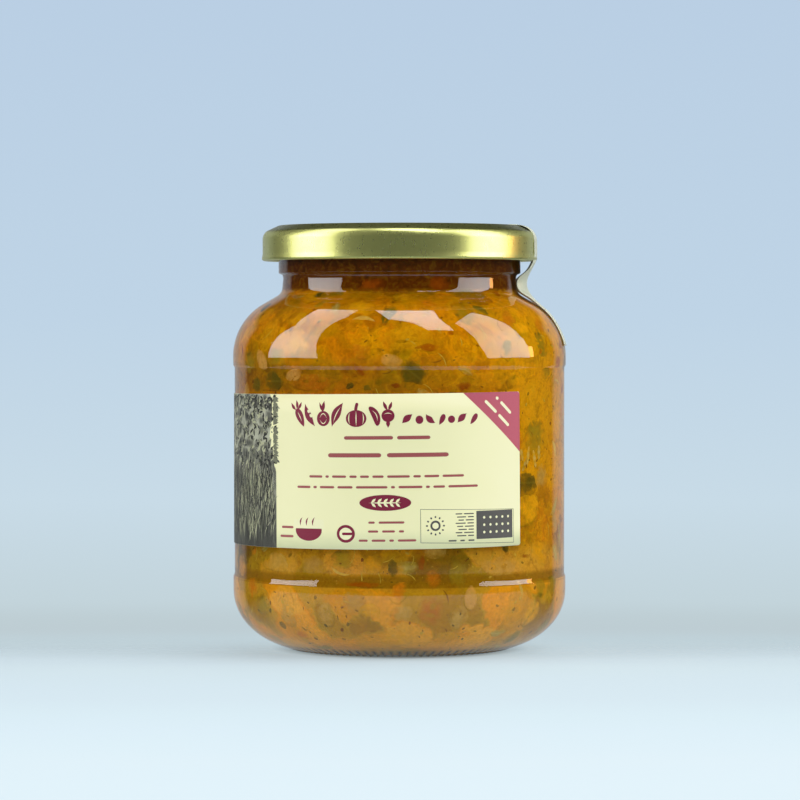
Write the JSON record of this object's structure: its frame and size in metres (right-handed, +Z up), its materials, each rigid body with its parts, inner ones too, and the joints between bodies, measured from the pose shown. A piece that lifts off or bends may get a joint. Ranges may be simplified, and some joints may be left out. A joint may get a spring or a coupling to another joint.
{
  "type": "jar of minestrone",
  "caption": "Shut glass jar of vegetable minestrone with a round shoulder, a gold twist-off lid, a wrap label and a paper seal strip.",
  "frame": {"origin": "on the jar's axis, in the plane of the ring that it stands on", "axes": "+Z up along the jar's axis, -Y through the middle of the label's front, +X through the seal strip"},
  "size_m": [0.08, 0.08, 0.1018],
  "materials": {
    "clear_glass": "clear, smooth and polished, with a stippled ring under the foot",
    "gold_lacquer": "pale gold lacquer on tinplate, satin gloss",
    "cream_paper": "smooth coated paper with printed fields of colour",
    "seal_paper": "thin pale strip, slightly see-through",
    "soup": "wet, thick amber soup with squash, beans, greens and tomato"
  },
  "bodies": {
    "root": {"jar": "clear_glass", "lid": "gold_lacquer", "label": "cream_paper", "seal": "seal_paper", "minestrone": "soup"}
  },
  "joints": []
}
